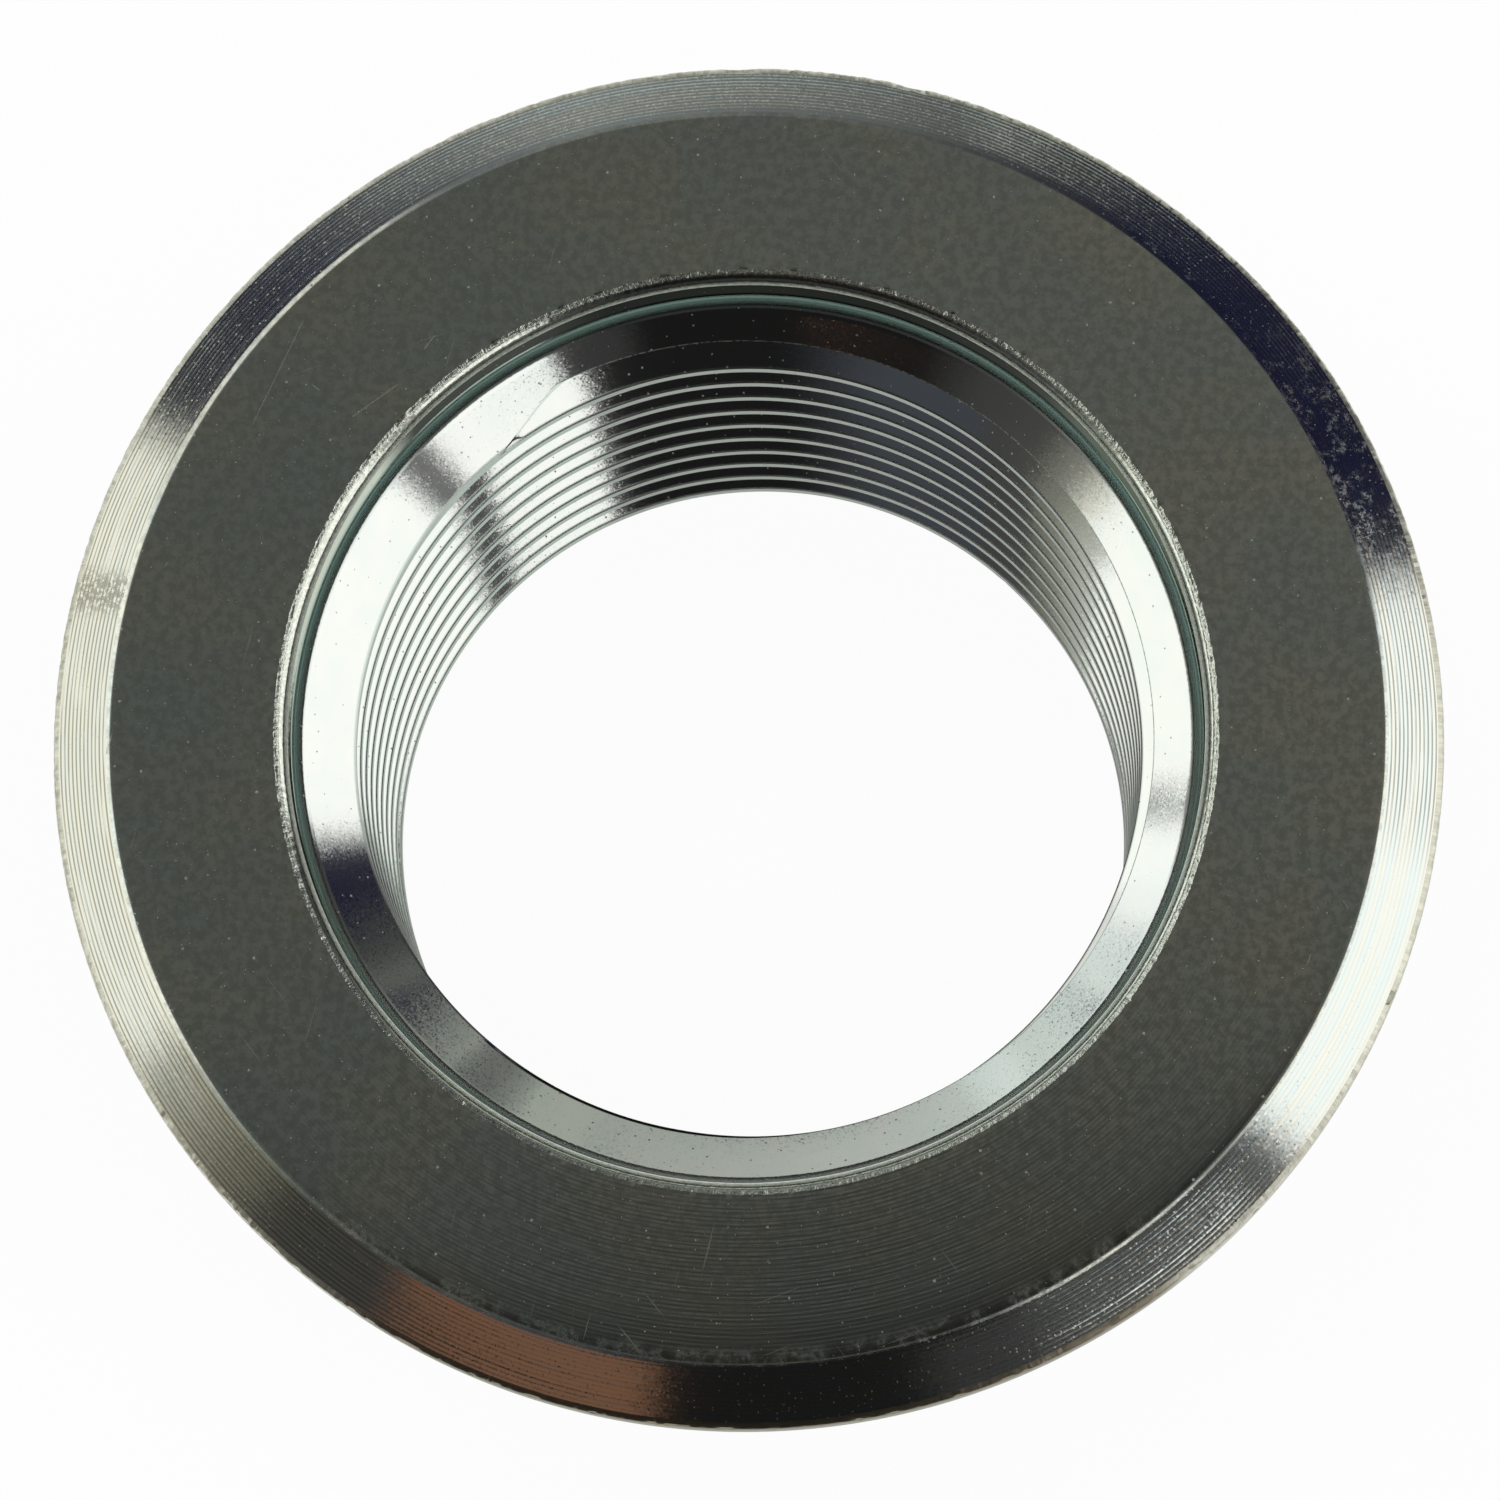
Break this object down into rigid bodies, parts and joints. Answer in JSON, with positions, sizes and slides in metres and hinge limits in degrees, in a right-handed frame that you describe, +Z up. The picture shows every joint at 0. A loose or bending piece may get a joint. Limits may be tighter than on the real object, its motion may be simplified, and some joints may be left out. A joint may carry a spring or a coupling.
{
  "type": "hex weld nut",
  "caption": "Steel weld nut: hexagonal body under a round bevelled flange, with a threaded through hole and an O-ring seat in its mouth.",
  "frame": {"origin": "middle of the hexagon's free end, which the nut stands on", "axes": "+Z up along the thread axis, out of the flange's flat face; +X through a corner of the hexagon"},
  "size_m": [0.0542, 0.0542, 0.0254],
  "materials": {
    "zinc_steel": "turned steel with a bright zinc plate and a thin blue-green passivation"
  },
  "bodies": {
    "root": {"weld_nut": "zinc_steel"}
  },
  "joints": []
}
